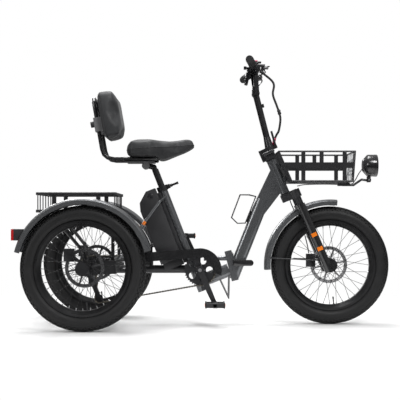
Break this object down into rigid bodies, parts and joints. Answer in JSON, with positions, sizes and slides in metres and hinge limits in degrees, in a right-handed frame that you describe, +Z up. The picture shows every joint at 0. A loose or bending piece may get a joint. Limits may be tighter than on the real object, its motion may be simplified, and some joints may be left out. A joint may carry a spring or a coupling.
{
  "type": "adult tricycle",
  "caption": "Folding step-through adult tricycle with fat tyres, a front basket, a rear rack, a backrest seat and an electric-assist battery",
  "frame": {"origin": "on the ground, under the middle of the tricycle's bounding box", "axes": "+X forward, +Y to the rider's left, +Z up"},
  "size_m": [1.7189, 0.748, 1.2206],
  "materials": {
    "frame_paint": "metallic grey paint, semi-gloss",
    "black_paint": "black powder coat",
    "fender_paint": "metallic grey paint",
    "black_plastic": "matt black",
    "cell_pack": "shrink wrap",
    "seat_cover": "charcoal synthetic leather",
    "bracket_grey": "grey",
    "tyre_black": "black rubber",
    "hub_metal": "dark anodised",
    "drive_steel": "steel",
    "lever_alloy": "brushed",
    "grip_rubber": "matt",
    "throttle_red": "gloss red"
  },
  "bodies": {
    "rear_frame": {"seat_tube": "frame_paint", "lower_beam": "frame_paint", "rear_subframe": "black_paint", "frame_stays": "frame_paint", "rear_fenders": "fender_paint", "tail_lights": "black_plastic", "rear_rack": "black_paint", "battery_dock": "black_paint", "chain_guard": "black_paint", "chain": "drive_steel", "folding_stand": "black_paint", "seat_clamp": "black_paint", "derailleur": "black_plastic", "rear_calipers": "hub_metal", "drive_motor": "hub_metal", "bearings": "hub_metal"},
    "battery": {"battery_case": "black_plastic", "battery_cells": "cell_pack"},
    "seat": {"seat_post": "black_paint", "saddle_clamp": "bracket_grey", "saddle": "seat_cover", "backrest_hoop": "black_paint"},
    "backrest": {"backrest_bracket": "bracket_grey", "backrest_pad": "seat_cover"},
    "seat_lever": {"seat_clamp_lever": "black_paint"},
    "crank": {"crankset": "drive_steel", "chainring": "drive_steel"},
    "right_pedal": {"pedal_right": "black_plastic"},
    "left_pedal": {"pedal_left": "black_plastic"},
    "freewheel": {"cassette": "drive_steel"},
    "right_wheel": {"rear_right_tyre": "tyre_black", "rear_right_rim": "black_paint", "rear_right_hub": "hub_metal"},
    "left_wheel": {"rear_left_tyre": "tyre_black", "rear_left_rim": "black_paint", "rear_left_hub": "hub_metal"},
    "front_wheel": {"front_tyre": "tyre_black", "front_rim": "black_paint", "front_hub": "hub_metal"},
    "front_frame": {"front_frame": "frame_paint", "headset": "black_paint", "basket": "black_paint", "headlight_arm": "black_paint", "bottle_cage": "black_paint", "cable_lower": "black_plastic"},
    "frame_lever": {"frame_latch": "black_plastic"},
    "lamp": {"headlight": "black_plastic"},
    "steering": {"fork_crown": "black_paint"},
    "fork": {"fork_lowers": "black_paint", "front_fender": "fender_paint", "front_caliper": "hub_metal"},
    "stem": {"handlepost": "black_paint"},
    "stem_lever": {"stem_latch": "black_plastic"},
    "bars": {"handlebar": "black_paint", "grips": "grip_rubber", "bar_controls": "black_plastic", "cable_bundle": "black_plastic"},
    "right_brake_lever": {"brake_lever_right": "lever_alloy"},
    "left_brake_lever": {"brake_lever_left": "lever_alloy"},
    "throttle": {"throttle_lever": "throttle_red"}
  },
  "joints": [
    {"name": "frame_fold", "type": "hinge", "parent": "rear_frame", "child": "front_frame", "pos_m": [0.1175, 0.045, 0.2756], "axis": [0, 0, 1], "range_deg": [0, 110]},
    {"name": "frame_lever_turn", "type": "hinge", "parent": "front_frame", "child": "frame_lever", "pos_m": [0.1295, -0.038, 0.2896], "axis": [0, 0, -1], "range_deg": [0, 110]},
    {"name": "steering_turn", "type": "hinge", "parent": "front_frame", "child": "steering", "pos_m": [0.37068, 0, 0.61837], "axis": [-0.3955, 0, 0.9184], "range_deg": [-45, 45], "deforming": ["cable_bundle", "cable_lower"]},
    {"name": "fork_travel", "type": "slide", "parent": "steering", "child": "fork", "axis": [-0.3955, 0, 0.9184], "range_m": [0, 0.028], "stiffness_N_per_m": 15000, "springref_m": -0.012},
    {"name": "front_wheel_turn", "type": "hinge", "parent": "fork", "child": "front_wheel", "pos_m": [0.5815, 0, 0.278], "axis": [0, 1, 0], "continuous": true},
    {"name": "right_wheel_turn", "type": "hinge", "parent": "rear_frame", "child": "right_wheel", "pos_m": [-0.5455, -0.325, 0.278], "axis": [0, 1, 0], "continuous": true},
    {"name": "left_wheel_turn", "type": "hinge", "parent": "rear_frame", "child": "left_wheel", "pos_m": [-0.5455, 0.325, 0.278], "axis": [0, 1, 0], "continuous": true},
    {"name": "crank_turn", "type": "hinge", "parent": "rear_frame", "child": "crank", "pos_m": [-0.0315, 0, 0.258], "axis": [0, 1, 0], "continuous": true},
    {"name": "freewheel_turn", "type": "hinge", "parent": "rear_frame", "child": "freewheel", "pos_m": [-0.5455, 0, 0.278], "axis": [0, 1, 0], "continuous": true},
    {"name": "right_pedal_turn", "type": "hinge", "parent": "crank", "child": "right_pedal", "pos_m": [0.0371, -0.092, 0.10246], "axis": [0, 1, 0], "continuous": true},
    {"name": "left_pedal_turn", "type": "hinge", "parent": "crank", "child": "left_pedal", "pos_m": [-0.1001, 0.092, 0.41354], "axis": [0, 1, 0], "continuous": true},
    {"name": "seat_height", "type": "slide", "parent": "rear_frame", "child": "seat", "axis": [-0.3633, 0, 0.9317], "range_m": [-0.045, 0.1]},
    {"name": "seat_lever_turn", "type": "hinge", "parent": "rear_frame", "child": "seat_lever", "pos_m": [-0.16767, 0, 0.65504], "axis": [-0.3633, 0, 0.9317], "range_deg": [0, 90]},
    {"name": "backrest_height", "type": "slide", "parent": "seat", "child": "backrest", "axis": [-0.1719, 0, 0.9851], "range_m": [-0.03, 0.03]},
    {"name": "battery_lift", "type": "slide", "parent": "rear_frame", "child": "battery", "axis": [-0.3633, 0, 0.9317], "range_m": [0, 0.08]},
    {"name": "stem_fold", "type": "hinge", "parent": "steering", "child": "stem", "pos_m": [0.28998, -0.038, 0.80573], "axis": [0.9184, 0, 0.3955], "range_deg": [0, 90]},
    {"name": "stem_lever_turn", "type": "hinge", "parent": "stem", "child": "stem_lever", "pos_m": [0.3263, 0, 0.8377], "axis": [0, 1, 0], "range_deg": [0, 80]},
    {"name": "bar_angle", "type": "hinge", "parent": "stem", "child": "bars", "pos_m": [0.23153, 0, 1.08704], "axis": [0, 1, 0], "range_deg": [-15, 15]},
    {"name": "right_brake_squeeze", "type": "hinge", "parent": "bars", "child": "right_brake_lever", "pos_m": [0.25466, -0.166, 1.18289], "axis": [0, 0, -1], "range_deg": [0, 18], "stiffness_Nm_per_rad": 1, "springref_deg": -11.46},
    {"name": "left_brake_squeeze", "type": "hinge", "parent": "bars", "child": "left_brake_lever", "pos_m": [0.25466, 0.166, 1.18289], "axis": [0, 0, 1], "range_deg": [0, 18], "stiffness_Nm_per_rad": 1, "springref_deg": -11.46},
    {"name": "throttle_turn", "type": "hinge", "parent": "bars", "child": "throttle", "pos_m": [0.21344, -0.132, 1.19889], "axis": [-0.1392, -0.9903, 0], "range_deg": [0, 30], "stiffness_Nm_per_rad": 0.2, "springref_deg": -11.46},
    {"name": "lamp_tilt", "type": "hinge", "parent": "front_frame", "child": "lamp", "pos_m": [0.76615, 0, 0.68], "axis": [0, 1, 0], "range_deg": [-12, 15]}
  ],
  "couplings": [
    {"joint": "freewheel_turn", "follows": "crank_turn", "ratio": 1.6364}
  ]
}
